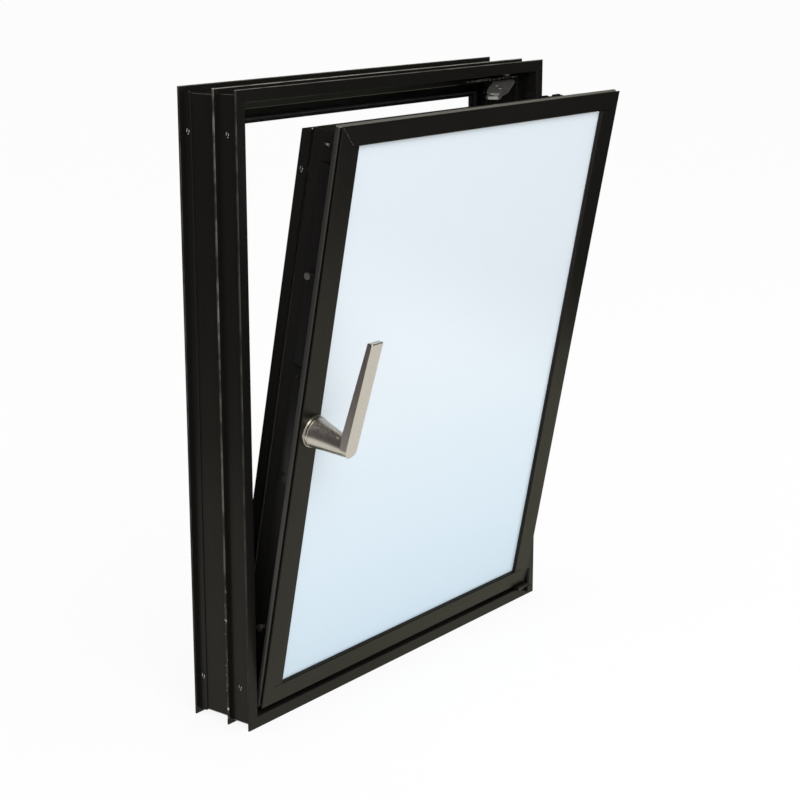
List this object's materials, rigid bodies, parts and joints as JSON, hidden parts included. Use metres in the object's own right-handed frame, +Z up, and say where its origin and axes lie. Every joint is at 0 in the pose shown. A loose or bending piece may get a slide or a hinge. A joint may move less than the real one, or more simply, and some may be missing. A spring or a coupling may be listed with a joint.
{
  "type": "tilt and turn window",
  "caption": "Dark bronze aluminium tilt and turn window with finned outer frame, glazed sash tilted inward on a stay arm, and a satin lever handle.",
  "frame": {"origin": "middle of the window's width, on the tip of the middle fin under the sill", "axes": "+X right as seen from the room, +Y towards the outside, +Z up; the handle and the room face look along -Y"},
  "size_m": [0.51, 0.2115, 0.635],
  "materials": {
    "bronze_aluminium": "dark bronze satin anodised",
    "black_rubber": "matte",
    "clear_glass": "clear, slightly blue",
    "mill_aluminium": "mill",
    "black_hardware": "black satin coat",
    "satin_nickel": "satin nickel",
    "zinc_steel": "zinc plated"
  },
  "bodies": {
    "frame": {"frame_sill": "bronze_aluminium", "frame_head": "bronze_aluminium", "frame_left_jamb": "bronze_aluminium", "frame_right_jamb": "bronze_aluminium", "frame_seal": "black_rubber", "lower_pivot_seat": "bronze_aluminium", "upper_pivot_bracket": "black_hardware", "left_upper_keep": "black_hardware", "left_lower_keep": "black_hardware", "sill_keep": "black_hardware", "right_jamb_plate": "black_hardware"},
    "turn_hinge": {"lower_hinge_knuckle": "bronze_aluminium", "upper_hinge_plate": "black_hardware"},
    "sash": {"sash_bottom_rail": "bronze_aluminium", "sash_top_rail": "bronze_aluminium", "sash_left_stile": "bronze_aluminium", "sash_right_stile": "bronze_aluminium", "bottom_glazing_bead": "bronze_aluminium", "top_glazing_bead": "bronze_aluminium", "left_glazing_bead": "bronze_aluminium", "right_glazing_bead": "bronze_aluminium", "inner_glass_pane": "clear_glass", "outer_glass_pane": "clear_glass", "glass_spacer": "mill_aluminium", "inner_glazing_seal": "black_rubber", "outer_glazing_seal": "black_rubber", "sash_corner_bracket": "bronze_aluminium", "stay_guide_pin": "black_hardware", "left_drive_rod": "black_hardware", "top_drive_rod": "black_hardware", "bottom_drive_rod": "black_hardware", "left_upper_cam": "zinc_steel", "left_lower_cam": "zinc_steel", "bottom_cam": "zinc_steel", "handle_rosette": "satin_nickel"},
    "lever": {"handle_lever": "satin_nickel"},
    "stay": {"stay_arm": "zinc_steel", "stay_pivot_rivet": "zinc_steel"}
  },
  "joints": [
    {"name": "sash_turn", "type": "hinge", "parent": "frame", "child": "turn_hinge", "pos_m": [0.23975, -0.03175, 0.3], "axis": [0, 0, 1], "range_deg": [0, 90]},
    {"name": "sash_tilt", "type": "hinge", "parent": "turn_hinge", "child": "sash", "pos_m": [0.2, -0.03175, 0.01525], "axis": [1, 0, 0], "range_deg": [-10.75, 0]},
    {"name": "lever_turn", "type": "hinge", "parent": "sash", "child": "lever", "pos_m": [-0.219, -0.08595, 0.31414], "axis": [0, 0.9825, 0.1865], "range_deg": [0, 180]},
    {"name": "stay_swing", "type": "hinge", "parent": "turn_hinge", "child": "stay", "pos_m": [0.219, -0.00325, 0.613], "axis": [0, 0, 1], "range_deg": [-30.79, 0]}
  ],
  "couplings": [
    {"joint": "stay_swing", "follows": "sash_tilt", "ratio": 2.8592}
  ]
}
